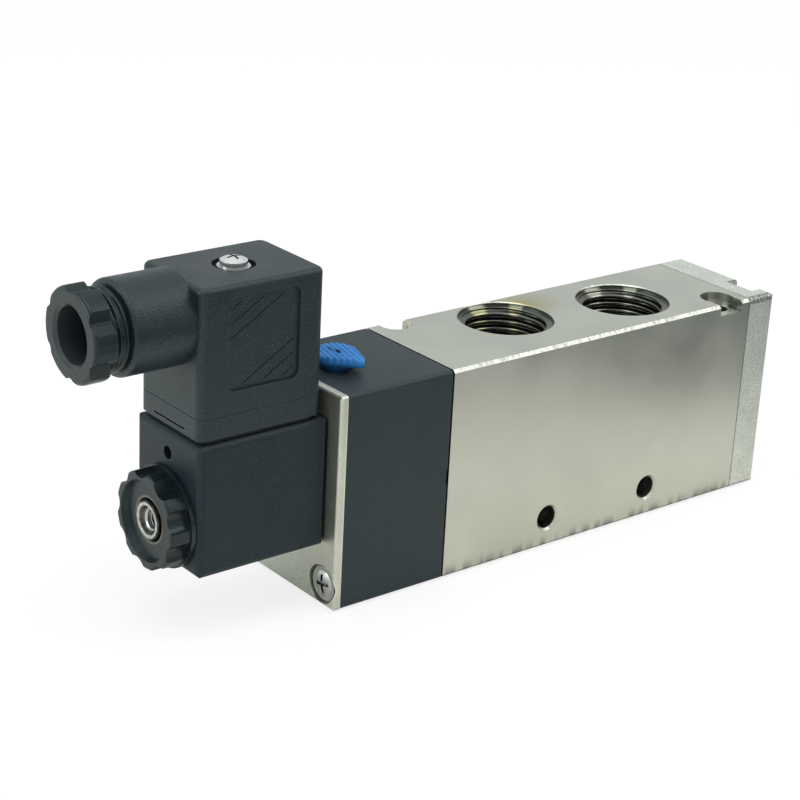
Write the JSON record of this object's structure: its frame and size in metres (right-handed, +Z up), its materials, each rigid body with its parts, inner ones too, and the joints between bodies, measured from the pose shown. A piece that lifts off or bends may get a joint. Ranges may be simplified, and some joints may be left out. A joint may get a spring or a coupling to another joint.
{
  "type": "pneumatic solenoid valve",
  "caption": "Spool valve with threaded ports on top and bottom, a black solenoid pilot with a turnable coil, a blue manual override and a right-angled cable connector.",
  "frame": {"origin": "centre of the supply port's mouth, on the flat bottom face", "axes": "+Z up out of the top face, +X towards the end cap, and the broad face with the side holes looks along -Y"},
  "size_m": [0.1872, 0.032, 0.0793],
  "materials": {
    "body_metal": "satin, nickel plated",
    "cap_metal": "fine blasted",
    "block_plastic": "moulded, finely grained",
    "coil_plastic": "moulded, finely grained",
    "connector_plastic": "moulded, finely grained",
    "nut_plastic": "moulded, smooth",
    "blue_plastic": "moulded",
    "piston_plastic": "moulded",
    "bobbin_plastic": "moulded",
    "zinc_steel": "bright zinc plated",
    "core_steel": "turned",
    "spring_steel": "drawn wire",
    "contact_metal": "tinned",
    "spool_alloy": "turned",
    "brass": "turned",
    "copper": "enamelled wire",
    "seal_rubber": "smooth",
    "gasket_rubber": "flat sheet"
  },
  "bodies": {
    "valve": {"valve_body": "body_metal", "end_cap": "cap_metal", "end_cap_gasket": "gasket_rubber", "end_cap_screws": "zinc_steel", "pilot_block": "block_plastic", "pilot_gasket": "gasket_rubber", "pilot_seat": "brass", "adapter_plate": "cap_metal", "plate_screws": "zinc_steel", "core_tube": "core_steel", "tube_seal": "seal_rubber", "fixed_core": "core_steel", "return_spring": "spring_steel", "armature_spring": "spring_steel"},
    "spool_set": {"spool": "spool_alloy", "spool_seals": "seal_rubber", "pilot_piston": "piston_plastic", "piston_seal": "seal_rubber"},
    "lever": {"override_lever": "blue_plastic", "override_seal": "seal_rubber"},
    "armature_set": {"armature": "core_steel", "armature_seal": "seal_rubber"},
    "coil_set": {"coil_housing": "coil_plastic", "coil_bobbin": "bobbin_plastic", "coil_winding": "copper", "coil_frame": "core_steel", "coil_seals": "seal_rubber", "terminal_blades": "contact_metal", "screw_insert": "brass", "connector_gasket": "gasket_rubber", "connector_cover": "connector_plastic", "terminal_block": "bobbin_plastic", "terminal_clamps": "brass", "connector_screw": "zinc_steel", "gland_washer": "zinc_steel", "gland_seal": "seal_rubber"},
    "nut_set": {"coil_nut": "nut_plastic", "nut_insert": "zinc_steel"},
    "gland_set": {"gland_nut": "nut_plastic"}
  },
  "joints": [
    {"name": "override_turn", "type": "hinge", "parent": "valve", "child": "lever", "pos_m": [-0.0676, 0, 0.05], "axis": [0, 0, 1], "range_deg": [0, 90]},
    {"name": "spool_slide", "type": "slide", "parent": "valve", "child": "spool_set", "axis": [1, 0, 0], "range_m": [0, 0.0068], "stiffness_N_per_m": 1500, "springref_m": -0.012, "deforming": ["return_spring"]},
    {"name": "armature_slide", "type": "slide", "parent": "valve", "child": "armature_set", "axis": [-1, 0, 0], "range_m": [0, 0.0012], "stiffness_N_per_m": 400, "springref_m": -0.004, "deforming": ["armature_spring"]},
    {"name": "coil_swivel", "type": "hinge", "parent": "valve", "child": "coil_set", "pos_m": [-0.0944, 0, 0.025], "axis": [1, 0, 0], "range_deg": [-90, 90]},
    {"name": "coil_nut_turn", "type": "hinge", "parent": "valve", "child": "nut_set", "pos_m": [-0.1135, 0, 0.025], "axis": [1, 0, 0], "continuous": true},
    {"name": "gland_nut_turn", "type": "hinge", "parent": "coil_set", "child": "gland_set", "pos_m": [-0.13, 0, 0.069], "axis": [1, 0, 0], "continuous": true}
  ]
}
